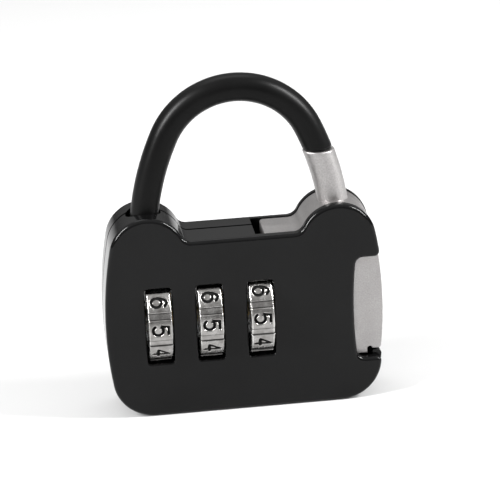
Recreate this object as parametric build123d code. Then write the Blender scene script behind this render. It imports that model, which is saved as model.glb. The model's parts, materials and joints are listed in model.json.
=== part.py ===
from build123d import *
import os
from math import atan2, cos, degrees, radians, sin, sqrt, tan

# Three-dial bag padlock. Millimetres. X runs across the face from the bow's hinge to
# the latch, Y runs from the face (-Y) to the back, Z is up. The origin is under the
# middle of the flat bottom edge.

os.makedirs("parts", exist_ok=True)

# Casing outline, in the X-Z plane
BODY_WIDTH = 46.0
BODY_DEPTH = 10.0
TOP_HEIGHT = 30.25
HUMP_X = 15.5
HUMP_RADIUS = 6.25
HUMP_HEIGHT = 34.65
SADDLE_RADIUS = 1.8
CORNER_RADIUS = 6.8
WIDEST_HEIGHT = 16.0

# Casing shells
FACE_WALL = 1.35
RIM_WALL = 1.5
SEAM_Y = 1.1
SEAM_GROOVE_WIDTH = 0.5
SEAM_GROOVE_DEPTH = 0.5
EDGE_ROUND = 0.7
FRONT_Y = -BODY_DEPTH / 2
BACK_Y = BODY_DEPTH / 2
FRONT_INSIDE = FRONT_Y + FACE_WALL
BACK_INSIDE = BACK_Y - FACE_WALL

# Wheels and their windows
WHEEL_COUNT = 3
WHEEL_DIAMETER = 15.0
WHEEL_WIDTH = 3.85
WHEEL_PITCH = 8.35
WHEEL_FIRST_X = -14.25
AXLE_HEIGHT = 15.95
DIGITS = 10
WINDOW_WIDTH = 4.4
WINDOW_HEIGHT = 13.3
WINDOW_CORNER = 0.6
WINDOW_ROUND = 0.25
GROOVE_WIDTH = 1.1
GROOVE_DEPTH = 0.25
WHEEL_CHAMFER = 0.25

# Axle, cams and clutch
AXLE_DIAMETER = 2.4
AXLE_LEFT = -20.6
AXLE_RIGHT = 11.2
RUNNING_GAP = 0.05
SLEEVE_DIAMETER = 4.8
SLEEVE_NECK = 4.2
SPLINE_RADIUS = 0.3
CAM_DIAMETER = 7.0
CAM_WIDTH = 1.2
CAM_OFFSET = 2.4
CAM_NOTCH = 1.8
CAM_NOTCH_DEPTH = 1.1
SLEEVE_GAP = 0.1
LAST_SLEEVE_END = 6.55
CLIP_DIAMETER = 3.6
CLIP_WIDTH = 0.4
CLIP_GROOVE = 1.8
CLIP_MOUTH = 1.6
AXLE_CHAMFER = 0.2
CRADLE_WIDTH = 1.9
CRADLE_LEFT = -19.8
CRADLE_RIGHT = 8.5
CRADLE_HALF = 4.2
CRADLE_FOOT = 9.4

# Bow, its hinge and its spigot
BOW_DIAMETER = 4.6
CROWN_RADIUS = 12.8
CROWN_Z = 41.4
CROWN_END = 25.0
LEG_RADIUS = 45.0
PIVOT_Z = 30.6
EYE_RADIUS = 2.2
EYE_DEPTH = 4.4
BOW_SWING = 10.0
PIN_DIAMETER = 1.6
PIN_REACH = 0.8
TIP_Z = 43.0
SPIGOT_DIAMETER = 2.0
SPIGOT_OUT = 2.2
SPIGOT_IN = 2.6
SPIGOT_SHIFT = -0.3
SPIGOT_NECK = 1.5
SPIGOT_NECK_LENGTH = 0.7
BOW_END_ROUND = 0.4
HOLE_RADIUS = 2.45
HOLE_RIGHT = -15.2
HOLE_SLACK = 0.15

# Latch
LATCH_TRAVEL = 1.0
LATCH_GAP = 0.15
LATCH_INSET = 0.15
LATCH_LEFT = 3.6
BAR_CORNER = 0.8
LATCH_ROUND = 0.2
RIDGE_DEPTH = 0.12
RIDGE_Y = (1.3, 1.5)
LATCH_BAR_FOOT = 26.2
LATCH_BLOCK_LEFT = 12.3
LATCH_FOOT = 8.25
LATCH_LEG_FOOT = 7.5
LATCH_LEG_RIGHT = 20.15
ARCH_RADIUS = 0.4
PANEL_PAD_ROUND = 0.6
STUB_DIAMETER = 4.95
STUB_TOP = 42.85
STUB_ROUND = 0.25
STUB_ROOT = 2.0
CUP_DEPTH = 2.7
CUP_RADIUS = 1.2
GUIDE_DIAMETER = 1.8
GUIDES = [(9.6, 28.2), (15.0, 18.6)]
CORE_CENTER = (17.2, 20.6)
CORE_SIZE = (7.0, 9.6)
CORE_CORNER = 1.0
CORE_FLOOR = 2.2
GUIDE_BOSS = 5.04
LATCH_OPENING_X = 2.1
BAND_CORNER = 0.8
PANEL_LEFT = 17.85
PANEL_TOP = 25.05
PANEL_FOOT = 7.3
PANEL_CORNER = 1.3
PANEL_TIP = 0.9
PANEL_BOW = 0.5
SIDE_OPENING_X = 16.5
SIDE_OPENING_FOOT = 8.1
SIDE_OPENING_TIP = 0.7
RETURN_Z = 12.4
RETURN_DIAMETER = 3.2
RETURN_WIRE = 0.45
RETURN_BOTTOM_X = 17.0
RETURN_TURNS = 6

# Small springs
BOW_SPRING_RADIUS = 1.35
BOW_SPRING_WIRE = 0.3
BOW_SPRING_TURNS = 1.5
BOW_SPRING_LEG = 1.8
BOW_SPRING_SLACK = 0.3
CLUTCH_WIRE = 0.35
CLUTCH_TURNS = 3

# Locking comb
COMB_TOP = 26.2
COMB_BAR = 1.6
COMB_DEPTH = 3.0
FINGER_WIDTH = 1.2
FINGER_OFFSET = 4.1
FINGER_GAP = 0.3
FINGER_SIDE_GAP = 0.2
COMB_RIGHT = 10.9
COMB_RIVET_INSET = 1.4
COMB_RIVET_DIAMETER = 1.0
COMB_RIVET_LENGTH = 2.7

# Rivets and detent leaf
RIVETS = [(-8.0, 28.1), (-19.2, 23.2), (-18.9, 5.7), (16.6, 4.6)]
RIVET_SHANK = 1.6
RIVET_HEAD = 2.8
RIVET_HEAD_DEPTH = 0.8
BOSS_DIAMETER = 3.4
LEAF_THICKNESS = 0.3
LEAF_WIDTH = 3.0
LEAF_GAP = 0.12
LEAF_BACK = 2.6
LEAF_FRONT = 2.2
LEAF_BEND = (2.9, 0.8)
LEAF_RISE = (1.6, 1.6)
LEAF_TIP = (1.3, 0.9)

WHEEL_XS = [WHEEL_FIRST_X + i * WHEEL_PITCH for i in range(WHEEL_COUNT)]
HUMP_Z = HUMP_HEIGHT - HUMP_RADIUS
SWING_ROOM = (HUMP_HEIGHT - PIVOT_Z) * tan(radians(BOW_SWING)) + HOLE_SLACK


def slab(sketch, low, high):
    """A sketch drawn in X and Z, made solid from y = low to y = high."""
    plane = Plane(origin=(0, high, 0), x_dir=(1, 0, 0), z_dir=(0, -1, 0))
    return extrude(plane * sketch, high - low)


def rod(x, z, diameter, low, high):
    """A round bar along Y."""
    return slab(Pos(x, z) * Circle(diameter / 2), low, high)


def axle_rod(left, right, diameter):
    """A round bar along X on the wheels' axis."""
    plane = Plane(origin=(left, 0, AXLE_HEIGHT), x_dir=(0, 1, 0), z_dir=(1, 0, 0))
    return extrude(plane * Circle(diameter / 2), right - left)


def block(x0, x1, y0, y1, z0, z1):
    """A box between two corners."""
    return Pos((x0 + x1) / 2, (y0 + y1) / 2, (z0 + z1) / 2) * Box(x1 - x0, y1 - y0, z1 - z0)


def arc(center, radius, start, end):
    """A circular arc from one angle to another, in degrees."""
    angles = [radians(a) for a in (start, (start + end) / 2, end)]
    points = [(center[0] + radius * cos(a), center[1] + radius * sin(a)) for a in angles]
    return ThreePointArc(*points)


def side_circle():
    """The long side arc: it touches the hump's circle and is widest at WIDEST_HEIGHT."""
    rise = HUMP_Z - WIDEST_HEIGHT
    reach = HUMP_X - BODY_WIDTH / 2
    radius = (reach**2 + rise**2 - HUMP_RADIUS**2) / (-2 * reach - 2 * HUMP_RADIUS)
    return (BODY_WIDTH / 2 - radius, WIDEST_HEIGHT), radius


def body_outline(inset=0.0):
    """The casing's outline, moved inwards by inset."""
    side, side_radius = side_circle()
    hump = (HUMP_X, HUMP_Z)
    drop = CORNER_RADIUS - WIDEST_HEIGHT
    corner = (side[0] + sqrt((side_radius - CORNER_RADIUS) ** 2 - drop**2), CORNER_RADIUS)
    saddle_z = TOP_HEIGHT + SADDLE_RADIUS
    reach = HUMP_RADIUS + SADDLE_RADIUS
    saddle = (HUMP_X - sqrt(reach**2 - (saddle_z - HUMP_Z) ** 2), saddle_z)
    low = degrees(atan2(corner[1] - side[1], corner[0] - side[0]))
    high = degrees(atan2(hump[1] - side[1], hump[0] - side[0]))
    inner = degrees(atan2(saddle[1] - hump[1], saddle[0] - hump[0]))
    right = [
        arc(corner, CORNER_RADIUS - inset, -90, low),
        arc(side, side_radius - inset, low, high),
        arc(hump, HUMP_RADIUS - inset, high, inner),
        arc(saddle, SADDLE_RADIUS + inset, inner - 180, -90),
    ]
    left = [edge.mirror(Plane.YZ) for edge in right]
    top = Line((saddle[0], TOP_HEIGHT - inset), (-saddle[0], TOP_HEIGHT - inset))
    bottom = Line((-corner[0], inset), (corner[0], inset))
    return make_face(Wire(right + [top] + left + [bottom]))


def leg_center():
    """The centre of the right leg's arc, which runs on from the end of the crown's arc."""
    back = LEG_RADIUS - CROWN_RADIUS
    end = radians(CROWN_END)
    return -back * cos(end), CROWN_Z - back * sin(end)


def leg_x(z):
    """How far the leg's centre line stands from the middle at a height."""
    x, foot = leg_center()
    return x + sqrt(LEG_RADIUS**2 - (z - foot) ** 2)


def leg_lean(z):
    """The leg's lean from upright at a height, in degrees."""
    return degrees(atan2(z - leg_center()[1], leg_x(z) - leg_center()[0]))


def upright(edges):
    """Plane curves drawn in X and Z, stood up in the middle of the lock."""
    stand = Plane(origin=(0, 0, 0), x_dir=(1, 0, 0), z_dir=(0, -1, 0))
    return [stand.from_local_coords(edge) for edge in edges]


def swept(edges, diameter):
    """A round bar along a chain of upright curves."""
    path = Wire(upright(edges))
    section = Plane(origin=path @ 0, z_dir=path % 0) * Circle(diameter / 2)
    return sweep(section, path=path)


def wheel_windows():
    """The three window shapes."""
    shape = Sketch()
    for x in WHEEL_XS:
        shape += Pos(x, AXLE_HEIGHT) * RectangleRounded(WINDOW_WIDTH, WINDOW_HEIGHT, WINDOW_CORNER)
    return shape


def soften_windows(cover, y):
    """Round the outside edges of the windows."""
    edges = []
    for edge in cover.edges():
        at = edge.center()
        near = min(abs(at.X - x) for x in WHEEL_XS) < WINDOW_WIDTH / 2 + RUNNING_GAP
        level = abs(at.Z - AXLE_HEIGHT) < WINDOW_HEIGHT / 2 + RUNNING_GAP
        if near and level and abs(at.Y - y) < 1e-3 and edge.bounding_box().size.Y < 1e-3:
            edges.append(edge)
    return fillet(edges, WINDOW_ROUND)


def shell(face, outside, inside, seam):
    """A half casing: a wall of the given face with a rounded outside edge, and a rim behind it."""
    wall = slab(face, min(outside, inside), max(outside, inside))
    rim = slab(body_outline(), min(inside, seam), max(inside, seam))
    rim -= slab(body_outline(RIM_WALL), min(inside, seam), max(inside, seam))
    edges = wall.faces().sort_by(Axis.Y)[0 if outside < seam else -1].edges()
    return fillet(edges, EDGE_ROUND) + rim


def front_face():
    """The casing's outline with the cut-out that shows the latch's push panel."""
    far = BODY_WIDTH
    left = PANEL_LEFT + PANEL_BOW
    middle = (PANEL_TOP + PANEL_FOOT) / 2
    bowed = ThreePointArc((left, PANEL_TOP), (PANEL_LEFT, middle), (left, PANEL_FOOT))
    rest = Polyline((left, PANEL_FOOT), (far, PANEL_FOOT), (far, PANEL_TOP), (left, PANEL_TOP))
    cut = make_face(Wire([bowed] + rest.edges()))
    cut = fillet(cut.vertices().group_by(Axis.X)[0], PANEL_CORNER)
    face = body_outline() - cut
    outer = [v for v in face.vertices() if v.X > left + 2 * PANEL_CORNER]
    tips = [v for v in outer if PANEL_FOOT - PANEL_TIP < v.Y < PANEL_TOP + PANEL_TIP]
    return fillet(tips, PANEL_TIP)


def open_rim(cover, low, high):
    """Cut the gap in the rim that the latch shows through, over the hump and down the side."""
    far = BODY_WIDTH
    cover -= block(LATCH_OPENING_X, far, low, high, AXLE_HEIGHT + WHEEL_DIAMETER / 2, far)
    cover -= block(SIDE_OPENING_X, far, low, high, SIDE_OPENING_FOOT, far)
    level = [e for e in cover.edges().filter_by(Axis.Y) if abs(e.center().Z - SIDE_OPENING_FOOT) < 1e-3]
    return fillet(ShapeList(level).sort_by(Axis.X)[-1], SIDE_OPENING_TIP)


def seam_groove():
    """The step in the front half's rim that shows as a dark line at the seam."""
    ring = body_outline() - body_outline(SEAM_GROOVE_DEPTH)
    return slab(ring, SEAM_Y - SEAM_GROOVE_WIDTH, SEAM_Y)


def bow_hole():
    """The slot in the hump that the bow's leg swings in."""
    length = SWING_ROOM + 2 * HOLE_RADIUS
    shape = Pos(HOLE_RIGHT - SWING_ROOM / 2, 0, PIVOT_Z) * SlotOverall(length, 2 * HOLE_RADIUS)
    return extrude(shape, BODY_WIDTH)


def cradle(x, low, high):
    """A cast rib that holds one end of the axle."""
    return block(x, x + CRADLE_WIDTH, low, high, CRADLE_FOOT, AXLE_HEIGHT + CRADLE_HALF)


def fixed_pins():
    """Where pins along Y sit in the covers: place and diameter."""
    places = [(-leg_x(PIVOT_Z), PIVOT_Z, PIN_DIAMETER)]
    places += [(x, z, GUIDE_DIAMETER) for x, z in GUIDES]
    return places


def fit_out(cover, inside, seam):
    """Ribs, bosses, pin sockets, windows and the bow's slot, which both halves have."""
    low, high = min(inside, seam), max(inside, seam)
    for x in (CRADLE_LEFT, CRADLE_RIGHT):
        edge = -RUNNING_GAP if inside < 0 else RUNNING_GAP
        reach = sorted((inside, seam if inside > 0 else edge))
        cover += cradle(x, *reach)
    cover -= axle_rod(CRADLE_LEFT - CRADLE_WIDTH, AXLE_RIGHT, AXLE_DIAMETER + RUNNING_GAP)
    for x, z in RIVETS:
        cover += rod(x, z, BOSS_DIAMETER, low, high)
    for x, z, diameter in fixed_pins():
        cover -= rod(x, z, diameter + RUNNING_GAP, FRONT_INSIDE - PIN_REACH, BACK_INSIDE + PIN_REACH)
    cover -= slab(wheel_windows(), FRONT_Y - 1, BACK_Y + 1)
    cover -= bow_hole()
    return cover


def front_cover():
    """The front half."""
    cover = shell(front_face(), FRONT_Y, FRONT_INSIDE, SEAM_Y)
    cover = open_rim(cover, FRONT_INSIDE, SEAM_Y)
    ends = [e for e in cover.edges().filter_by(Axis.Z) if abs(e.center().X - LATCH_OPENING_X) < 1e-3]
    cover = fillet(ShapeList(ends).sort_by(Axis.Y)[-1], BAND_CORNER) - seam_groove()
    cover = fit_out(cover, FRONT_INSIDE, SEAM_Y)
    cover = soften_windows(cover, FRONT_Y)
    for x, z in RIVETS:
        cover -= rod(x, z, RIVET_SHANK, FRONT_INSIDE, SEAM_Y)
    return cover


def rear_cover():
    """The rear half, with countersinks for the rivets."""
    cover = shell(body_outline(), BACK_Y, BACK_INSIDE, SEAM_Y)
    cover = open_rim(cover, SEAM_Y, BACK_INSIDE)
    cover = fit_out(cover, BACK_INSIDE, SEAM_Y)
    cover = soften_windows(cover, BACK_Y)
    for x, z in RIVETS:
        cover -= rod(x, z, RIVET_SHANK + RUNNING_GAP, SEAM_Y, BACK_Y)
        cover -= rod(x, z, RIVET_HEAD + RUNNING_GAP, BACK_Y - RIVET_HEAD_DEPTH, BACK_Y)
    return cover


def cover_rivets():
    """Four flush rivets from the back."""
    return [
        rod(x, z, RIVET_SHANK, FRONT_INSIDE, BACK_Y - RIVET_HEAD_DEPTH)
        + rod(x, z, RIVET_HEAD, BACK_Y - RIVET_HEAD_DEPTH, BACK_Y)
        for x, z in RIVETS
    ]


def spigot_frame():
    """The spigot's own plane: its origin on the bow's end face, pointing out of the bow."""
    lean = radians(leg_lean(TIP_Z))
    return Plane(origin=(leg_x(TIP_Z) + SPIGOT_SHIFT, 0, TIP_Z), z_dir=(sin(lean), 0, -cos(lean)))


def shackle_bow():
    """The round bow, its hinge eye, and the socket for the spigot."""
    x, z = leg_center()
    foot = degrees(atan2(PIVOT_Z - z, leg_x(PIVOT_Z) - x))
    tip = degrees(atan2(TIP_Z - BOW_DIAMETER - z, leg_x(TIP_Z - BOW_DIAMETER) - x))
    left = arc((-x, z), LEG_RADIUS, 180 - foot, 180 - CROWN_END)
    crown = arc((0, CROWN_Z), CROWN_RADIUS, 180 - CROWN_END, CROWN_END)
    right = arc((x, z), LEG_RADIUS, CROWN_END, tip)
    bow = swept([left, crown, right], BOW_DIAMETER)
    bow -= block(0, BODY_WIDTH, -BOW_DIAMETER, BOW_DIAMETER, 0, TIP_Z)
    bow = fillet(bow.faces().filter_by(Axis.Z).sort_by(Axis.X)[-1].edges(), BOW_END_ROUND)
    bow -= block(-BODY_WIDTH, 0, -BODY_DEPTH, -EYE_DEPTH / 2, 0, PIVOT_Z + EYE_RADIUS)
    bow -= block(-BODY_WIDTH, 0, EYE_DEPTH / 2, BODY_DEPTH, 0, PIVOT_Z + EYE_RADIUS)
    eye_x = -leg_x(PIVOT_Z)
    bow += rod(eye_x, PIVOT_Z, 2 * EYE_RADIUS, -EYE_DEPTH / 2, EYE_DEPTH / 2)
    bow -= rod(eye_x, PIVOT_Z, PIN_DIAMETER + 2 * RUNNING_GAP, -BODY_DEPTH, BODY_DEPTH)
    socket = spigot_frame() * Circle(SPIGOT_DIAMETER / 2)
    return bow - extrude(socket, -SPIGOT_IN) - extrude(socket, SPIGOT_DIAMETER)


def bow_tip_pin():
    """The spigot: fixed in the bow, with a neck that the latch hooks."""
    frame = spigot_frame()
    neck_at = (SPIGOT_OUT - SPIGOT_NECK_LENGTH) / 2
    pin = extrude(frame * Circle(SPIGOT_DIAMETER / 2), -SPIGOT_IN)
    pin += extrude(frame * Circle(SPIGOT_DIAMETER / 2), neck_at)
    pin += extrude(frame.offset(neck_at) * Circle(SPIGOT_NECK / 2), SPIGOT_NECK_LENGTH)
    tail = neck_at + SPIGOT_NECK_LENGTH
    pin += extrude(frame.offset(tail) * Circle(SPIGOT_DIAMETER / 2), SPIGOT_OUT - tail)
    return pin


def bow_pivot_pin():
    """The hinge pin, held in both covers."""
    return rod(-leg_x(PIVOT_Z), PIVOT_Z, PIN_DIAMETER, FRONT_INSIDE - PIN_REACH, BACK_INSIDE + PIN_REACH)


def coil(radius, wire, turns, length, leg=0.0):
    """A coil spring along Z from its origin, with a straight leg at each end if asked."""
    lead = (length - wire) / turns
    path = Helix(pitch=lead, height=length - wire, radius=radius)
    if leg:
        first = Line(path @ 0 - (path % 0) * leg, path @ 0)
        last = Line(path @ 1, path @ 1 + (path % 1) * leg)
        path = Wire([first, path, last])
    section = Plane(origin=path @ 0, z_dir=path % 0) * Circle(wire / 2)
    return Pos(0, 0, wire / 2) * sweep(section, path=path)


def bow_spring():
    """The torsion spring on the hinge pin, between the bow's eye and the rear cover."""
    low = EYE_DEPTH / 2 + BOW_SPRING_SLACK
    high = BACK_INSIDE - BOW_SPRING_SLACK
    start = Plane(origin=(-leg_x(PIVOT_Z), low, PIVOT_Z), x_dir=(1, 0, 0), z_dir=(0, 1, 0))
    spring = coil(BOW_SPRING_RADIUS, BOW_SPRING_WIRE, BOW_SPRING_TURNS, high - low, BOW_SPRING_LEG)
    return start * spring


def cup():
    """The slot in the stub that the spigot stands in, with room for the latch's travel."""
    lean = leg_lean(TIP_Z)
    middle = LATCH_TRAVEL / 2 - RUNNING_GAP
    length = LATCH_TRAVEL + 2 * CUP_RADIUS + 4 * RUNNING_GAP
    frame = spigot_frame()
    start = frame.origin + frame.z_dir * (TIP_Z - STUB_TOP)
    plane = Plane(origin=start, x_dir=(cos(radians(lean)), 0, sin(radians(lean))), z_dir=frame.z_dir)
    shape = plane * (Pos(middle, 0) * SlotOverall(length, 2 * CUP_RADIUS))
    return extrude(shape, CUP_DEPTH) + extrude(shape, -CUP_DEPTH / 2)


def latch_outline():
    """The latch plate: the casing's outline, cut back to the bar, the block and the leg."""
    shape = body_outline(LATCH_INSET)
    far = BODY_WIDTH
    bar = Pos(LATCH_LEFT + far / 2, LATCH_BAR_FOOT + far / 2) * Rectangle(far, far)
    wide = Pos(LATCH_BLOCK_LEFT + far / 2, LATCH_FOOT + far / 2) * Rectangle(far, far)
    shape &= bar + wide
    leg_width = LATCH_LEG_RIGHT - LATCH_BLOCK_LEFT
    leg_height = 2 * (LATCH_FOOT - LATCH_LEG_FOOT)
    shape += Pos(LATCH_BLOCK_LEFT + leg_width / 2, LATCH_FOOT) * Rectangle(leg_width, leg_height)
    shape -= Pos(LATCH_LEG_RIGHT + ARCH_RADIUS, LATCH_FOOT) * Circle(ARCH_RADIUS)
    low = [v for v in shape.vertices() if abs(v.Y - LATCH_FOOT) < 1e-3]
    return fillet(ShapeList(low).sort_by(Axis.X)[-1], PANEL_PAD_ROUND)


def latch_core():
    """The pocket in the latch's back, which leaves a boss round the lower guide pin."""
    core = Pos(*CORE_CENTER) * RectangleRounded(*CORE_SIZE, CORE_CORNER)
    return core - Pos(*GUIDES[1]) * Circle(GUIDE_BOSS / 2)


def latch_stub():
    """The leaning stub on the strip, with a rounded rim."""
    foot = leg_lean(LATCH_BAR_FOOT + STUB_ROOT)
    top = leg_lean(STUB_TOP + STUB_DIAMETER)
    stub = swept([arc(leg_center(), LEG_RADIUS, top, foot)], STUB_DIAMETER)
    stub -= block(0, BODY_WIDTH, -STUB_DIAMETER, STUB_DIAMETER, STUB_TOP, 2 * STUB_TOP)
    return fillet(stub.faces().sort_by(Axis.Z)[-1].edges(), STUB_ROUND)


def latch_slider():
    """The silver latch: top strip, stub, push panel, cored from behind."""
    low, high = FRONT_INSIDE + LATCH_GAP, BACK_INSIDE - LATCH_GAP
    slider = slab(latch_outline(), low, high)
    end = [e for e in slider.edges().filter_by(Axis.Z) if abs(e.center().X - LATCH_LEFT) < 1e-3]
    slider = fillet(end, BAR_CORNER)
    faces = slider.faces().sort_by(Axis.Y)
    slider = fillet(faces[0].edges() + faces[-1].edges(), LATCH_ROUND)
    groove = slab(body_outline(LATCH_INSET) - body_outline(LATCH_INSET + RIDGE_DEPTH), *RIDGE_Y)
    slider -= groove & block(leg_x(TOP_HEIGHT), BODY_WIDTH, low, high, TOP_HEIGHT, BODY_WIDTH)
    slider -= slab(latch_core(), low + CORE_FLOOR, high)
    slider += latch_stub()
    slider -= cup()
    for x, z in GUIDES:
        length = GUIDE_DIAMETER + LATCH_TRAVEL + 4 * RUNNING_GAP
        slot = Pos(x + LATCH_TRAVEL / 2, z) * SlotOverall(length, GUIDE_DIAMETER + 2 * RUNNING_GAP)
        slider -= slab(slot, low - 1, high + 1)
    seat = Plane(origin=(LATCH_BLOCK_LEFT, 0, RETURN_Z), x_dir=(0, 1, 0), z_dir=(1, 0, 0))
    slider -= extrude(seat * Circle(RETURN_DIAMETER / 2 + LATCH_GAP), RETURN_BOTTOM_X - LATCH_BLOCK_LEFT)
    rivet_depth = COMB_RIVET_LENGTH - COMB_BAR + RUNNING_GAP
    for x in comb_rivet_xs():
        slider -= Pos(x, 0, LATCH_BAR_FOOT) * Cylinder(COMB_RIVET_DIAMETER / 2, 2 * rivet_depth)
    return slider


def latch_guide_pins():
    """The two pins that the latch slides on."""
    return [
        rod(x, z, GUIDE_DIAMETER, FRONT_INSIDE - PIN_REACH, BACK_INSIDE + PIN_REACH) for x, z in GUIDES
    ]


def latch_return_spring():
    """The spring between the right cradle and the latch."""
    left = CRADLE_RIGHT + CRADLE_WIDTH
    start = Plane(origin=(left, 0, RETURN_Z), x_dir=(0, 1, 0), z_dir=(1, 0, 0))
    radius = (RETURN_DIAMETER - RETURN_WIRE) / 2
    return start * coil(radius, RETURN_WIRE, RETURN_TURNS, RETURN_BOTTOM_X - left)


def comb_rivet_xs():
    """Where the comb is riveted to the latch, left and right of the third finger."""
    return [LATCH_LEFT + COMB_RIVET_INSET, COMB_RIGHT - COMB_RIVET_INSET]


def locking_comb():
    """The fence: a bar over the wheels with one finger for each cam."""
    left = WHEEL_XS[0] + FINGER_OFFSET
    comb = block(left, COMB_RIGHT, -COMB_DEPTH / 2, COMB_DEPTH / 2, COMB_TOP - COMB_BAR, COMB_TOP)
    foot = AXLE_HEIGHT + CAM_DIAMETER / 2 + FINGER_GAP
    half = CAM_NOTCH / 2 - FINGER_SIDE_GAP
    for x in WHEEL_XS:
        start = x + FINGER_OFFSET
        comb += block(start, start + FINGER_WIDTH, -half, half, foot, COMB_TOP)
    for x in comb_rivet_xs():
        comb -= Pos(x, 0, COMB_TOP) * Cylinder(COMB_RIVET_DIAMETER / 2, 4 * COMB_BAR)
    return comb


def comb_rivets():
    """Two small rivets that hold the comb under the latch's bar."""
    middle = COMB_TOP - COMB_BAR + COMB_RIVET_LENGTH / 2
    rivet = Cylinder(COMB_RIVET_DIAMETER / 2, COMB_RIVET_LENGTH)
    return [Pos(x, 0, middle) * rivet for x in comb_rivet_xs()]


def wheel_axle():
    """The axle, with a groove near each end for its clip."""
    axle = axle_rod(AXLE_LEFT, AXLE_RIGHT, AXLE_DIAMETER)
    for x in clip_xs():
        ring = axle_rod(x, x + CLIP_WIDTH, CLIP_DIAMETER) - axle_rod(x, x + CLIP_WIDTH, CLIP_GROOVE)
        axle -= ring
    rims = axle.edges().filter_by(GeomType.CIRCLE).group_by(Axis.X)
    return chamfer(rims[0] + rims[-1], AXLE_CHAMFER)


def clip_xs():
    """The left face of each axle clip, just outside the cradles."""
    return [CRADLE_LEFT - CLIP_WIDTH - RUNNING_GAP, CRADLE_RIGHT + CRADLE_WIDTH + RUNNING_GAP]


def axle_clips():
    """Two open clips in the axle's grooves."""
    clips = []
    for x in clip_xs():
        clip = axle_rod(x, x + CLIP_WIDTH, CLIP_DIAMETER) - axle_rod(x, x + CLIP_WIDTH, CLIP_GROOVE)
        mouth = CLIP_MOUTH / 2
        clip -= block(x, x + CLIP_WIDTH, -mouth, mouth, AXLE_HEIGHT - CLIP_DIAMETER, AXLE_HEIGHT)
        clips.append(clip)
    return clips


def clutch_spring():
    """The coil that pushes the cams together along the axle."""
    left, right = LAST_SLEEVE_END + RUNNING_GAP, CRADLE_RIGHT - RUNNING_GAP
    start = Plane(origin=(left, 0, AXLE_HEIGHT), x_dir=(0, 1, 0), z_dir=(1, 0, 0))
    radius = AXLE_DIAMETER / 2 + RUNNING_GAP + CLUTCH_WIRE / 2
    return start * coil(radius, CLUTCH_WIRE, CLUTCH_TURNS, right - left)


def number_wheel(x):
    """A wheel with ten pads, a groove between each two, and a splined bore."""
    left, right = x - WHEEL_WIDTH / 2, x + WHEEL_WIDTH / 2
    wheel = axle_rod(left, right, WHEEL_DIAMETER)
    wheel = chamfer(wheel.edges().filter_by(GeomType.CIRCLE), WHEEL_CHAMFER)
    wheel -= axle_rod(left, right, SLEEVE_DIAMETER + 2 * RUNNING_GAP)
    center = Pos(0, 0, AXLE_HEIGHT)
    edge = WHEEL_DIAMETER / 2
    half = GROOVE_WIDTH / 2
    for i in range(DIGITS):
        turn = center * Rot(i * 360 / DIGITS, 0, 0)
        wheel -= turn * block(left, right, -half, half, edge - GROOVE_DEPTH, edge + GROOVE_DEPTH)
        spline = Pos(x, 0, SLEEVE_DIAMETER / 2) * Rot(0, 90, 0)
        wheel -= turn * spline * Cylinder(SPLINE_RADIUS + RUNNING_GAP, WHEEL_WIDTH)
    return wheel


def cam_sleeve(index):
    """The sleeve in a wheel's bore, with its splines and its notched cam."""
    x = WHEEL_XS[index]
    left = x - WHEEL_WIDTH / 2
    last = index == WHEEL_COUNT - 1
    end = LAST_SLEEVE_END if last else left + WHEEL_PITCH - SLEEVE_GAP
    sleeve = axle_rod(left, x + WHEEL_WIDTH / 2, SLEEVE_DIAMETER)
    sleeve += axle_rod(left, end, SLEEVE_NECK)
    center = Pos(0, 0, AXLE_HEIGHT)
    for i in range(DIGITS):
        turn = center * Rot(i * 360 / DIGITS, 0, 0)
        spline = Pos(x, 0, SLEEVE_DIAMETER / 2) * Rot(0, 90, 0)
        sleeve += turn * spline * Cylinder(SPLINE_RADIUS, WHEEL_WIDTH)
    cam = axle_rod(x + CAM_OFFSET, x + CAM_OFFSET + CAM_WIDTH, CAM_DIAMETER)
    top = AXLE_HEIGHT + CAM_DIAMETER / 2
    notch = CAM_NOTCH / 2
    cam -= block(x, x + WHEEL_PITCH, -notch, notch, top - CAM_NOTCH_DEPTH, top + CAM_NOTCH_DEPTH)
    sleeve += cam
    sleeve -= axle_rod(left, left + 2 * WHEEL_PITCH, AXLE_DIAMETER + 2 * RUNNING_GAP)
    return sleeve


def detent_spring():
    """The leaf under the wheels: a foot strip and one bent tongue for each wheel."""
    floor = RIM_WALL + LEAF_THICKNESS / 2 + RUNNING_GAP
    crest = AXLE_HEIGHT - WHEEL_DIAMETER / 2 - LEAF_GAP - LEAF_THICKNESS / 2
    bend = (LEAF_BEND[0], floor + LEAF_BEND[1])
    rise = (LEAF_RISE[0], crest - LEAF_RISE[1])
    tip = (-LEAF_TIP[0], crest - LEAF_TIP[1])
    line = Polyline((-LEAF_BACK, floor), (LEAF_FRONT, floor), bend, rise, (0, crest), tip)
    profile = trace(line, LEAF_THICKNESS)
    side = Plane(origin=(0, 0, 0), x_dir=(0, 1, 0), z_dir=(1, 0, 0))
    leaf = Part()
    for x in WHEEL_XS:
        leaf += Pos(x - LEAF_WIDTH / 2, 0, 0) * extrude(side * profile, LEAF_WIDTH)
    half = LEAF_THICKNESS / 2
    left, right = WHEEL_XS[0] - LEAF_WIDTH / 2, WHEEL_XS[-1] + LEAF_WIDTH / 2
    return leaf + block(left, right, -LEAF_BACK, LEAF_FRONT, floor - half, floor + half)


def write(name, shape):
    """Write one node. A list becomes a group of separate solids."""
    if isinstance(shape, list):
        solids = [solid for item in shape for solid in item.solids()]
        shape = Compound(children=solids)
    shape.label = name
    export_step(shape, f"parts/{name}.step")


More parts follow.
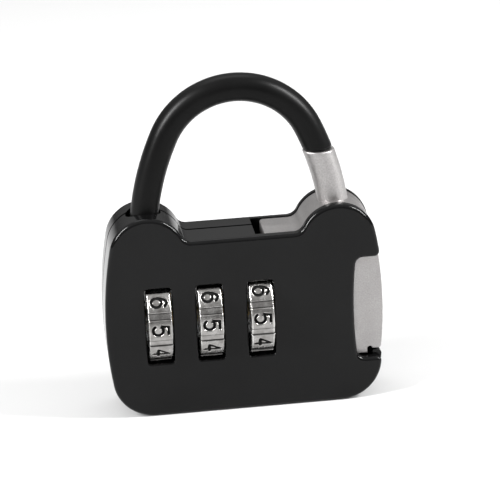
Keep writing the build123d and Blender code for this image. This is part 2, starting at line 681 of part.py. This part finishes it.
write("front_cover", front_cover())
write("rear_cover", rear_cover())
write("cover_rivets", cover_rivets())
write("shackle_bow", shackle_bow())
write("bow_tip_pin", bow_tip_pin())
write("bow_pivot_pin", bow_pivot_pin())
write("bow_spring", bow_spring())
write("latch_slider", latch_slider())
write("latch_guide_pins", latch_guide_pins())
write("latch_return_spring", latch_return_spring())
write("locking_comb", locking_comb())
write("comb_rivets", comb_rivets())
write("wheel_axle", wheel_axle())
write("axle_clips", axle_clips())
write("clutch_spring", clutch_spring())
write("detent_spring", detent_spring())
for number, place in enumerate(WHEEL_XS, start=1):
    write(f"number_wheel_{number}", number_wheel(place))
    write(f"cam_sleeve_{number}", cam_sleeve(number - 1))
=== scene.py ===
import json
import math

import bmesh
import bpy
from mathutils import Matrix, Vector
from mathutils.geometry import delaunay_2d_cdt


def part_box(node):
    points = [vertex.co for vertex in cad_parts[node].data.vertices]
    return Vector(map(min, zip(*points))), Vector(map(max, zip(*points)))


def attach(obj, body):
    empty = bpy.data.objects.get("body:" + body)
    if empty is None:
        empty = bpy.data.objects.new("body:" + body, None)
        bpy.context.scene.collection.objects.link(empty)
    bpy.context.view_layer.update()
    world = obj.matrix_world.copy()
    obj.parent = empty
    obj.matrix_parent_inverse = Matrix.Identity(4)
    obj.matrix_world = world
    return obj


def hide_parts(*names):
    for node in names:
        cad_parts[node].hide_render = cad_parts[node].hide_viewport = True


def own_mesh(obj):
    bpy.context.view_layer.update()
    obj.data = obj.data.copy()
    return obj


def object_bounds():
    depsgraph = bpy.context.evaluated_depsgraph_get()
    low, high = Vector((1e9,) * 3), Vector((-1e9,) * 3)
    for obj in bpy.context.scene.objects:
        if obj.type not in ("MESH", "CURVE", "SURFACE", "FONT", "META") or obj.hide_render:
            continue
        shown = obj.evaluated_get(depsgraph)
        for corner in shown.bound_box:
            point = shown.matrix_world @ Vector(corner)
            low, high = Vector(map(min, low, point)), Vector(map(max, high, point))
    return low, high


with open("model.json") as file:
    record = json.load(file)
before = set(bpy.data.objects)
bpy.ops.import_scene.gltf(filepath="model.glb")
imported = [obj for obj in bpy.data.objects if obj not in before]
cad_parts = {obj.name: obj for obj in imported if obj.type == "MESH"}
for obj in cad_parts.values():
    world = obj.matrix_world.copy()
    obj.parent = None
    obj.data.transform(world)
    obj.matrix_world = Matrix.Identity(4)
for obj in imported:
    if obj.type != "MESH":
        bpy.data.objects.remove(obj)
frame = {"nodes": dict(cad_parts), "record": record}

# The looks of the three-dial bag padlock. Metres, in the CAD frame: X runs across the face,
# the face looks towards -Y and +Z is up.

MM = 0.001
CAD_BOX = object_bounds()
RECORD = frame["record"]

# ---------------------------------------------------------------- camera

VIEW_TURN = math.radians(6.6)
VIEW_DROP = math.radians(21.5)
VIEW_ROLL = math.radians(2.2)
VIEW_DISTANCE = 392.7 * MM
VIEW_TARGET = Vector((1.57, 0.0, 26.12)) * MM
LENS = 172.8
SENSOR = 36.0
CLIP_NEAR = 0.01
CLIP_FAR = 20.0


def camera_axes():
    """The camera's right, up and forward directions."""
    turn, drop = VIEW_TURN, VIEW_DROP
    right = Vector((math.cos(turn), -math.sin(turn), 0.0))
    up = Vector((math.sin(turn) * math.sin(drop), math.cos(turn) * math.sin(drop), math.cos(drop)))
    forward = up.cross(right)
    roll = Matrix.Rotation(VIEW_ROLL, 3, forward)
    return roll @ right, roll @ up, forward


def make_camera():
    """A long lens from the front, a little to the left and above, rolled slightly."""
    right, up, forward = camera_axes()
    data = bpy.data.cameras.new("camera")
    data.lens = LENS
    data.sensor_width = SENSOR
    data.clip_start = CLIP_NEAR
    data.clip_end = CLIP_FAR
    camera = bpy.data.objects.new("camera", data)
    bpy.context.scene.collection.objects.link(camera)
    facing = Matrix((right, up, -forward)).transposed().to_4x4()
    camera.matrix_world = Matrix.Translation(VIEW_TARGET - forward * VIEW_DISTANCE) @ facing
    bpy.context.scene.camera = camera


# ---------------------------------------------------------------- floor and light

WHITE = (1.0, 1.0, 1.0, 1.0)
FLOOR_SIZE = 6.0
FLOOR_TONE = 0.46
FLOOR_ROUGHNESS = 0.9
SKY_AT_HORIZON = 0.12
SKY_OVERHEAD = 1.1
# Places and sizes in metres, powers in watts
LIGHTS = {
    "left_strip": {"at": (-0.42, -0.17, 0.3), "size": (0.06, 0.3), "power": 5.5},
    "right_strip": {"at": (0.42, -0.12, 0.32), "size": (0.06, 0.3), "power": 5.5},
    "top_softbox": {"at": (0.0, 0.3, 0.8), "size": (0.6, 0.3), "power": 1.5},
}


def make_floor():
    """A plain pale floor under the lock."""
    mesh = bpy.data.meshes.new("floor")
    half = FLOOR_SIZE / 2
    corners = [(-half, -half, 0), (half, -half, 0), (half, half, 0), (-half, half, 0)]
    mesh.from_pydata(corners, [], [(0, 1, 2, 3)])
    floor = bpy.data.objects.new("floor", mesh)
    bpy.context.scene.collection.objects.link(floor)
    material, shader = new_material("floor_white")
    shader.inputs["Base Color"].default_value = (FLOOR_TONE, FLOOR_TONE, FLOOR_TONE, 1.0)
    shader.inputs["Roughness"].default_value = FLOOR_ROUGHNESS
    mesh.materials.append(material)


def make_sky():
    """A white surround, brighter overhead."""
    world = bpy.data.worlds.new("studio")
    world.use_nodes = True
    nodes, links = world.node_tree.nodes, world.node_tree.links
    background = nodes["Background"]
    background.inputs["Color"].default_value = WHITE
    place = nodes.new("ShaderNodeTexCoord")
    height = nodes.new("ShaderNodeSeparateXYZ")
    strength = nodes.new("ShaderNodeMapRange")
    strength.inputs["To Min"].default_value = SKY_AT_HORIZON
    strength.inputs["To Max"].default_value = SKY_OVERHEAD
    links.new(place.outputs["Generated"], height.inputs["Vector"])
    links.new(height.outputs["Z"], strength.inputs["Value"])
    links.new(strength.outputs["Result"], background.inputs["Strength"])
    bpy.context.scene.world = world


def make_lights():
    """Three soft boxes aimed at the middle of the lock."""
    aim = (CAD_BOX[0] + CAD_BOX[1]) / 2
    for name, light in LIGHTS.items():
        data = bpy.data.lights.new(name, "AREA")
        data.shape = "RECTANGLE"
        data.size, data.size_y = light["size"]
        data.energy = light["power"]
        lamp = bpy.data.objects.new(name, data)
        bpy.context.scene.collection.objects.link(lamp)
        place = Vector(light["at"])
        lamp.location = place
        lamp.rotation_euler = (aim - place).to_track_quat("-Z", "Y").to_euler()


# ---------------------------------------------------------------- material helpers

# The colour sockets of a Mix node that mixes colours
MIX_FIRST, MIX_SECOND, MIX_RESULT = 6, 7, 2
# The part of a noise pattern's 0 to 1 that most of it falls in
PATTERN_LOW, PATTERN_HIGH = 0.3, 0.7
NO_STRETCH = (1.0, 1.0, 1.0)
DETAIL_LOW, DETAIL_MIDDLE, DETAIL_HIGH = 2.0, 3.0, 4.0


def new_material(name):
    """An empty node material and its Principled shader."""
    material = bpy.data.materials.new(name)
    material.use_nodes = True
    return material, material.node_tree.nodes["Principled BSDF"]


def add_noise(material, size, detail, stretch=NO_STRETCH):
    """A noise pattern in the piece's own space, with features about size metres across."""
    nodes, links = material.node_tree.nodes, material.node_tree.links
    place = nodes.new("ShaderNodeTexCoord")
    mapping = nodes.new("ShaderNodeMapping")
    mapping.inputs["Scale"].default_value = stretch
    noise = nodes.new("ShaderNodeTexNoise")
    noise.inputs["Scale"].default_value = 1.0 / size
    noise.inputs["Detail"].default_value = detail
    links.new(place.outputs["Object"], mapping.inputs["Vector"])
    links.new(mapping.outputs["Vector"], noise.inputs["Vector"])
    return noise.outputs["Fac"]


def add_range(material, value, low, high):
    """A noise pattern spread over low to high."""
    node = material.node_tree.nodes.new("ShaderNodeMapRange")
    node.inputs["From Min"].default_value = PATTERN_LOW
    node.inputs["From Max"].default_value = PATTERN_HIGH
    node.inputs["To Min"].default_value = low
    node.inputs["To Max"].default_value = high
    material.node_tree.links.new(value, node.inputs["Value"])
    return node.outputs["Result"]


def add_mix(material, value, first, second):
    """A colour from first (value 0) to second (value 1). Each is a colour or a node's output."""
    node = material.node_tree.nodes.new("ShaderNodeMix")
    node.data_type = "RGBA"
    links = material.node_tree.links
    links.new(value, node.inputs["Factor"])
    for index, colour in ((MIX_FIRST, first), (MIX_SECOND, second)):
        socket = node.inputs[index]
        if isinstance(colour, tuple):
            socket.default_value = (*colour, 1.0)
        else:
            links.new(colour, socket)
    return node.outputs[MIX_RESULT]


def darker(tone, share):
    """A tone at a share of its brightness."""
    return tuple(share * c for c in tone)


def add_product(material, first, second):
    """Two values multiplied."""
    node = material.node_tree.nodes.new("ShaderNodeMath")
    node.operation = "MULTIPLY"
    material.node_tree.links.new(first, node.inputs[0])
    material.node_tree.links.new(second, node.inputs[1])
    return node.outputs[0]


def add_bump(material, shader, heights):
    """Small relief. heights holds pairs of a pattern and its depth in metres."""
    nodes, links = material.node_tree.nodes, material.node_tree.links
    last = None
    for pattern, depth in heights:
        bump = nodes.new("ShaderNodeBump")
        bump.inputs["Distance"].default_value = depth
        links.new(pattern, bump.inputs["Height"])
        if last:
            links.new(last, bump.inputs["Normal"])
        last = bump.outputs["Normal"]
    links.new(last, shader.inputs["Normal"])


def add_attribute(material, name):
    """A value stored on the mesh's points."""
    node = material.node_tree.nodes.new("ShaderNodeAttribute")
    node.attribute_name = name
    return node.outputs["Fac"]


# ---------------------------------------------------------------- materials

# A tone is linear RGB, gloss and rough are ranges of roughness, grain and relief are in metres
PAINTS = {
    "casing_paint": {
        "tone": (0.003, 0.003, 0.0031),
        "gloss": (0.1, 0.16),
        "shine": 0.17,
        "grain": 0.5 * MM,
        "relief": 0.003 * MM,
    },
    "bow_paint": {
        "tone": (0.003, 0.003, 0.003),
        "gloss": (0.28, 0.38),
        "shine": 0.1,
        "grain": 0.35 * MM,
        "relief": 0.006 * MM,
    },
}
PAINT_DRIFT = 9.0 * MM
PAINT_SHADE = 0.6

GRAINY_METALS = {
    "latch_silver": {
        "tone": (0.41, 0.397, 0.393),
        "rough": (0.4, 0.5),
        "grain": 0.22 * MM,
        "relief": 0.025 * MM,
    },
    "rivet_steel": {
        "tone": (0.1, 0.1, 0.1),
        "rough": (0.35, 0.5),
        "grain": 0.3 * MM,
        "relief": 0.01 * MM,
    },
    "comb_zinc": {
        "tone": (0.4, 0.4, 0.41),
        "rough": (0.5, 0.65),
        "grain": 0.3 * MM,
        "relief": 0.02 * MM,
    },
}
GRAINY_CLOUD = 3.0 * MM
GRAINY_CLOUD_STRENGTH = 0.35
GRAINY_SHADE = 0.75
# A pit's size in grains, and its depth in reliefs
PIT_SIZE = 3.0
PIT_RELIEF = 1.5

TURNED_METALS = {
    "pin_steel": {"tone": (0.6, 0.6, 0.62), "rough": (0.22, 0.4), "along": "Y"},
    "spring_steel": {"tone": (0.42, 0.42, 0.45), "rough": (0.25, 0.4), "along": "Z"},
    "cam_brass": {"tone": (0.78, 0.56, 0.25), "rough": (0.25, 0.42), "along": "X"},
}
TURNED_RING = 1.2 * MM
TURNED_RING_STRETCH = 12.0
TURNED_RELIEF = 0.004 * MM
TURNED_CLOUD = 2.0 * MM
TURNED_SHADE = 0.65

WHEEL_CLOUD = 1.4 * MM
WHEEL_GRAIN = 0.18 * MM
WHEEL_SCRATCH = 0.25 * MM
SCRATCH_STRETCH = (1.0, 9.0, 9.0)
WHEEL_DARK = (0.24, 0.23, 0.22)
WHEEL_LIGHT = (0.46, 0.45, 0.44)
STREAK_TONE = (0.1, 0.1, 0.1)
STREAK_STRENGTH = 0.35
WORN_TONE = (0.88, 0.87, 0.85)
WORN_PATCHES = (0.25, 1.0)
# Painted shade: a near-black colour along the foot of each groove wall, in place of the groove's
# shadow
PAINTED_SHADE_TONE = (0.02, 0.02, 0.02)
WHEEL_ROUGH = (0.18, 0.3)
GRAIN_RELIEF = 0.012 * MM
SCRATCH_RELIEF = 0.01 * MM

INK_CLOUD = 0.3 * MM
INK_DARK = (0.002, 0.002, 0.002)
INK_LIGHT = (0.008, 0.008, 0.008)
INK_ROUGH = (0.6, 0.8)
INK_SHINE = 0.08
INK_RELIEF = 0.01 * MM


def black_paint(name, tone, gloss, shine, grain, relief):
    """Black paint with a faint orange peel and small changes of gloss."""
    material, shader = new_material(name)
    drift = add_noise(material, PAINT_DRIFT, DETAIL_HIGH)
    peel = add_noise(material, grain, DETAIL_LOW)
    spread = add_range(material, drift, 0.0, 1.0)
    colour = add_mix(material, spread, darker(tone, PAINT_SHADE), tone)
    links = material.node_tree.links
    links.new(colour, shader.inputs["Base Color"])
    links.new(add_range(material, drift, *gloss), shader.inputs["Roughness"])
    shader.inputs["Specular IOR Level"].default_value = shine
    add_bump(material, shader, [(peel, relief)])
    return material


def grainy_metal(name, tone, rough, grain, relief):
    """Bare metal with a fine grain, shallow pits, faint clouds and uneven gloss."""
    material, shader = new_material(name)
    clouds = add_noise(material, GRAINY_CLOUD, DETAIL_HIGH)
    fine = add_noise(material, grain, DETAIL_MIDDLE)
    pits = add_noise(material, PIT_SIZE * grain, DETAIL_LOW)
    shade = darker(tone, GRAINY_SHADE)
    colour = add_mix(material, add_range(material, fine, 0.0, 1.0), shade, tone)
    cloudy = add_mix(material, add_range(material, clouds, 0.0, GRAINY_CLOUD_STRENGTH), colour, shade)
    links = material.node_tree.links
    links.new(cloudy, shader.inputs["Base Color"])
    links.new(add_range(material, clouds, *rough), shader.inputs["Roughness"])
    shader.inputs["Metallic"].default_value = 1.0
    add_bump(material, shader, [(fine, relief), (pits, PIT_RELIEF * relief)])
    return material


def turned_metal(name, tone, rough, along):
    """Turned or drawn metal with fine rings across the named axis."""
    material, shader = new_material(name)
    stretch = tuple(TURNED_RING_STRETCH if axis == along else 1.0 for axis in "XYZ")
    rings = add_noise(material, TURNED_RING, DETAIL_LOW, stretch)
    clouds = add_noise(material, TURNED_CLOUD, DETAIL_MIDDLE)
    spread = add_range(material, clouds, 0.0, 1.0)
    colour = add_mix(material, spread, darker(tone, TURNED_SHADE), tone)
    links = material.node_tree.links
    links.new(colour, shader.inputs["Base Color"])
    links.new(add_range(material, rings, *rough), shader.inputs["Roughness"])
    shader.inputs["Metallic"].default_value = 1.0
    add_bump(material, shader, [(rings, TURNED_RELIEF)])
    return material


def wheel_metal():
    """The wheels' plated casting: painted shade, near-black, in the grooves' corners, and bright
    where hands have worn it.
    """
    material, shader = new_material("wheel_metal")
    cloud = add_noise(material, WHEEL_CLOUD, DETAIL_HIGH)
    grain = add_noise(material, WHEEL_GRAIN, DETAIL_MIDDLE)
    scratch = add_noise(material, WHEEL_SCRATCH, DETAIL_LOW, SCRATCH_STRETCH)
    plain = add_mix(material, add_range(material, cloud, 0.0, 1.0), WHEEL_DARK, WHEEL_LIGHT)
    streaks = add_range(material, scratch, STREAK_STRENGTH, 0.0)
    streaky = add_mix(material, streaks, plain, STREAK_TONE)
    patches = add_range(material, cloud, *WORN_PATCHES)
    wear = add_product(material, add_attribute(material, "wear"), patches)
    worn = add_mix(material, wear, streaky, WORN_TONE)
    # Painted shade: the grooves' feet are turned near-black where the groove's shadow would fall
    groove_shaded = add_mix(material, add_attribute(material, "groove_shade"), worn, PAINTED_SHADE_TONE)
    links = material.node_tree.links
    links.new(groove_shaded, shader.inputs["Base Color"])
    links.new(add_range(material, cloud, *WHEEL_ROUGH), shader.inputs["Roughness"])
    shader.inputs["Metallic"].default_value = 1.0
    add_bump(material, shader, [(grain, GRAIN_RELIEF), (scratch, SCRATCH_RELIEF)])
    return material


def digit_ink():
    """Matt black paint in the sunk digits."""
    material, shader = new_material("digit_ink")
    cloud = add_noise(material, INK_CLOUD, DETAIL_MIDDLE)
    colour = add_mix(material, add_range(material, cloud, 0.0, 1.0), INK_DARK, INK_LIGHT)
    links = material.node_tree.links
    links.new(colour, shader.inputs["Base Color"])
    links.new(add_range(material, cloud, *INK_ROUGH), shader.inputs["Roughness"])
    shader.inputs["Specular IOR Level"].default_value = INK_SHINE
    add_bump(material, shader, [(cloud, INK_RELIEF)])
    return material


def make_materials():
    """One material for each of the record's slots, and the ink."""
    made = {name: black_paint(name, **look) for name, look in PAINTS.items()}
    made |= {name: grainy_metal(name, **look) for name, look in GRAINY_METALS.items()}
    made |= {name: turned_metal(name, **look) for name, look in TURNED_METALS.items()}
    return made | {"wheel_metal": wheel_metal(), "digit_ink": digit_ink()}


def dress_nodes(materials):
    """Gives every CAD node the material of its slot."""
    for part in RECORD["subparts"]:
        mesh = frame["nodes"][part["node"]].data
        mesh.materials.clear()
        mesh.materials.append(materials[part["material_slot"]])


# ---------------------------------------------------------------- number wheels

DIGITS = 10
PAD_ANGLE = 2 * math.pi / DIGITS
GROOVE_HALF = 0.55 * MM
GROOVE_DEPTH = 0.22 * MM
EDGE_SOFT = 0.07 * MM
RIM_ROUND = 0.22 * MM
BORE_RADIUS = 2.45 * MM
STROKE = 0.43 * MM
DIGIT_DEPTH = 0.28 * MM
DIGIT_HALF_WIDTH = 0.8 * MM
DIGIT_HALF_HEIGHT = 1.26 * MM
ARC_STEP = math.radians(12.0)
TIP_STEPS = 6
# At a sharp bend the outline stays within STROKE / 2 divided by this
MITRE_LIMIT = 0.5
# Extra rows of points at a groove's wall, in EDGE_SOFT from it, and at the rim, in RIM_ROUND from it
GROOVE_ROWS = (-3, -1, 0, 1)
RIM_ROWS = (0.0, 0.15, 0.5, 1.0, 1.6)
PAD_CELLS = 18
# The plain grid keeps this far from the strokes' edges, which have their own points
GRID_GAP = 1.5 * EDGE_SOFT
RIM_WEAR = 0.65
# How strong and how wide the painted shade at the grooves' feet is
GROOVE_SHADE_AMOUNT = 0.9
GROOVE_SHADE_REACH = 1.5 * EDGE_SOFT
FLAT_TOLERANCE = 1e-9
SAME_POINT = 1e-7
# The digit that faces the front, and how far each wheel stands past its click there, in degrees
SHOWN_DIGIT = 5
REST_TURNS = {1: 2.5, 2: 4.5, 3: 7.5}


def bend(center, radii, start, end):
    """Points along part of an ellipse, angles in degrees."""
    a, b = math.radians(start), math.radians(end)
    count = max(2, round(abs(b - a) / ARC_STEP))
    angles = [a + (b - a) * i / count for i in range(count + 1)]
    return [(center[0] + radii[0] * math.cos(t), center[1] + radii[1] * math.sin(t)) for t in angles]


def digit_strokes(digit):
    """The centre lines of a digit, in a box from -1 to 1 each way."""
    low_bowl, high_bowl = (0.0, -0.34), (0.0, 0.34)
    bowl = (0.97, 0.66)
    shapes = {
        0: [bend((0, 0), (0.95, 1.0), 0, 360)],
        1: [[(-0.45, 0.6), (0.15, 1.0), (0.15, -1.0)]],
        2: [bend((0, 0.42), (0.9, 0.58), 170, -35) + [(-0.9, -1.0), (0.95, -1.0)]],
        3: [bend((-0.05, 0.5), (0.8, 0.5), 150, -90), bend((-0.05, -0.48), (0.97, 0.52), 90, -150)],
        4: [[(0.4, -1.0), (0.4, 1.0)], [(0.4, 1.0), (-1.0, -0.4)], [(-1.0, -0.4), (1.0, -0.4)]],
        5: [[(0.85, 1.0), (-0.75, 1.0), (-0.85, 0.1)] + bend(low_bowl, bowl, 140, -145)],
        6: [bend(low_bowl, bowl, 0, 360), bend((0.1, -0.25), (1.07, 1.25), 190, 50)],
        7: [[(-0.9, 1.0), (0.9, 1.0), (-0.25, -1.0)]],
        8: [bend((0, 0.5), (0.8, 0.5), 0, 360), bend((0, -0.48), (0.97, 0.52), 0, 360)],
        9: [bend(high_bowl, bowl, 0, 360), bend((-0.1, 0.25), (1.07, 1.25), 10, -130)],
    }
    return shapes[digit]


def pad_strokes(digit):
    """The digit lying on its side: its top points along the axle. Points are (up, across)."""
    lines = []
    for line in digit_strokes(digit):
        lines.append([Vector((-x * DIGIT_HALF_WIDTH, y * DIGIT_HALF_HEIGHT)) for x, y in line])
    return lines


def stroke_distance(point, lines):
    """How far a point is from the nearest centre line."""
    best = math.inf
    for line in lines:
        for a, b in zip(line, line[1:]):
            along = b - a
            t = max(0.0, min(1.0, (point - a).dot(along) / along.length_squared))
            best = min(best, (point - a - along * t).length)
    return best


def outline(line, reach):
    """A closed loop round a centre line, with round ends."""
    loop = []
    for points in (line, line[::-1]):
        for i, point in enumerate(points):
            before, after = points[max(i - 1, 0)], points[min(i + 1, len(points) - 1)]
            heading = (after - before).normalized()
            side = Vector((heading.y, -heading.x))
            if 0 < i < len(points) - 1:
                spread = (point - before).normalized().dot(heading)
                side /= max(spread, MITRE_LIMIT)
            loop.append(point + side * reach)
        tip = points[-1]
        heading = (tip - points[-2]).normalized()
        start = math.atan2(-heading.x, heading.y)
        for step in range(1, TIP_STEPS):
            angle = start + math.pi * step / TIP_STEPS
            loop.append(tip + Vector((math.cos(angle), math.sin(angle))) * reach)
    return loop


def steps(low, high, count):
    """Evenly spaced values, both ends included."""
    return [low + (high - low) * i / count for i in range(count + 1)]


def pad_grid(half_pitch, half_width):
    """The values that the pad's plain grid runs through, up and across."""
    groove = [0.0] + [GROOVE_HALF + row * EDGE_SOFT for row in GROOVE_ROWS]
    tops = [half_pitch - g for g in groove]
    inner = steps(-tops[-1], tops[-1], PAD_CELLS)[1:-1]
    sides = [half_width - row * RIM_ROUND for row in RIM_ROWS]
    middle = steps(-sides[-1], sides[-1], PAD_CELLS)[1:-1]
    return [-t for t in tops] + inner + tops[::-1], [-e for e in sides] + middle + sides[::-1]


def soft_share(distance, half):
    """1 nearer than half and 0 beyond it, with a smooth change over EDGE_SOFT to either side."""
    share = min(1.0, max(0.0, (half + EDGE_SOFT - distance) / (2 * EDGE_SOFT)))
    return share * share * (3 - 2 * share)


def pad_depth(up, across, distance, half_pitch, half_width):
    """How far the surface lies under the wheel's full radius."""
    depth = GROOVE_DEPTH * soft_share(half_pitch - abs(up), GROOVE_HALF)
    to_rim = half_width - abs(across)
    if to_rim < RIM_ROUND:
        depth += RIM_ROUND - math.sqrt(RIM_ROUND**2 - (RIM_ROUND - to_rim) ** 2)
    return max(depth, DIGIT_DEPTH * soft_share(distance, STROKE / 2))


def flat_pad(lines, half_pitch, half_width):
    """The pad's flat triangle pattern: points, triangles and each point's distance to the strokes."""
    ups, acrosses = pad_grid(half_pitch, half_width)
    points = [Vector((u, a)) for u in ups for a in acrosses]
    points = [p for p in points if stroke_distance(p, lines) > STROKE / 2 + GRID_GAP]
    edges = []
    for reach in (STROKE / 2 + EDGE_SOFT, STROKE / 2, STROKE / 2 - EDGE_SOFT):
        for line in lines:
            loop = outline(line, reach)
            first = len(points)
            points += loop
            edges += [(first + i, first + (i + 1) % len(loop)) for i in range(len(loop))]
    made = delaunay_2d_cdt(points, edges, [], 0, FLAT_TOLERANCE)
    return made[0], made[2], [stroke_distance(p, lines) for p in made[0]]


def wheel_mesh(number, axle, radius, width, materials):
    """A whole wheel: ten pads with sunk digits, two side faces and a bore."""
    half_pitch, half_width = PAD_ANGLE * radius / 2, width / 2
    turn = math.radians(REST_TURNS[number])
    mesh = bmesh.new()
    wear, groove_shade = mesh.verts.layers.float.new("wear"), mesh.verts.layers.float.new("groove_shade")
    for digit in range(DIGITS):
        middle = turn + (digit - SHOWN_DIGIT) * PAD_ANGLE
        lines = pad_strokes(digit)
        points, faces, distances = flat_pad(lines, half_pitch, half_width)
        made = []
        for point, distance in zip(points, distances):
            up, across = point
            depth = pad_depth(up, across, distance, half_pitch, half_width)
            angle, reach = middle + up / radius, radius - depth
            place = axle + Vector((across, -reach * math.cos(angle), reach * math.sin(angle)))
            vert = mesh.verts.new(place)
            to_joint, to_rim = half_pitch - abs(up), half_width - abs(across)
            vert[wear] = RIM_WEAR if to_rim < RIM_ROUND else 0.0
            # Points at the foot of a groove wall carry the painted groove shade
            at_foot = abs(to_joint - GROOVE_HALF + EDGE_SOFT) < GROOVE_SHADE_REACH
            vert[groove_shade] = GROOVE_SHADE_AMOUNT if at_foot else 0.0
            made.append(vert)
        for face in faces:
            middle_point = sum((points[i] for i in face), Vector((0, 0))) / len(face)
            inked = stroke_distance(middle_point, lines) < STROKE / 2
            item = mesh.faces.new([made[i] for i in face])
            item.material_index = 1 if inked else 0
            item.smooth = True
    bmesh.ops.remove_doubles(mesh, verts=mesh.verts, dist=SAME_POINT)
    close_wheel(mesh, axle, half_width)
    bmesh.ops.recalc_face_normals(mesh, faces=mesh.faces)
    data = bpy.data.meshes.new(f"dial_{number}")
    mesh.to_mesh(data)
    mesh.free()
    data.materials.append(materials["wheel_metal"])
    data.materials.append(materials["digit_ink"])
    return data


def close_wheel(mesh, axle, half_width):
    """Adds the side faces, from the rim to the bore, and the bore's wall."""
    rings = {-1: {}, 1: {}}
    for edge in [e for e in mesh.edges if e.is_boundary]:
        side = 1 if edge.verts[0].co.x > axle.x else -1
        for vert in edge.verts:
            if vert not in rings[side]:
                away = (vert.co - axle) * Vector((0, 1, 1))
                inner = axle + away.normalized() * BORE_RADIUS
                inner.x = axle.x + side * half_width
                rings[side][vert] = mesh.verts.new(inner)
        a, b = edge.verts
        mesh.faces.new((a, b, rings[side][b], rings[side][a]))
    bmesh.ops.bridge_loops(mesh, edges=[e for e in mesh.edges if e.is_boundary])


def make_wheels(materials):
    """Puts a detailed wheel in the place of each plain CAD wheel."""
    for number in REST_TURNS:
        node = f"number_wheel_{number}"
        low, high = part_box(node)
        radius = (high.y - low.y) / 2
        data = wheel_mesh(number, (low + high) / 2, radius, high.x - low.x, materials)
        dial = bpy.data.objects.new(f"dial_{number}", data)
        bpy.context.scene.collection.objects.link(dial)
        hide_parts(node)
        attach(dial, f"wheel_{number}")


# ---------------------------------------------------------------- return spring


def make_return_coil():
    """A copy of the latch's return spring, with its doubled points merged, fixed to the casing."""
    node = frame["nodes"]["latch_return_spring"]
    data = node.data.copy()
    mesh = bmesh.new()
    mesh.from_mesh(data)
    bmesh.ops.remove_doubles(mesh, verts=mesh.verts, dist=SAME_POINT)
    mesh.to_mesh(data)
    mesh.free()
    coil = bpy.data.objects.new("return_coil", data)
    coil.matrix_world = node.matrix_world
    bpy.context.scene.collection.objects.link(coil)
    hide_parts("latch_return_spring")
    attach(coil, "casing")
    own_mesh(coil)


# ---------------------------------------------------------------- the scene

MATERIALS = make_materials()
dress_nodes(MATERIALS)
make_wheels(MATERIALS)
make_return_coil()
make_floor()
make_sky()
make_lights()
make_camera()
bpy.context.scene.view_settings.view_transform = "Standard"
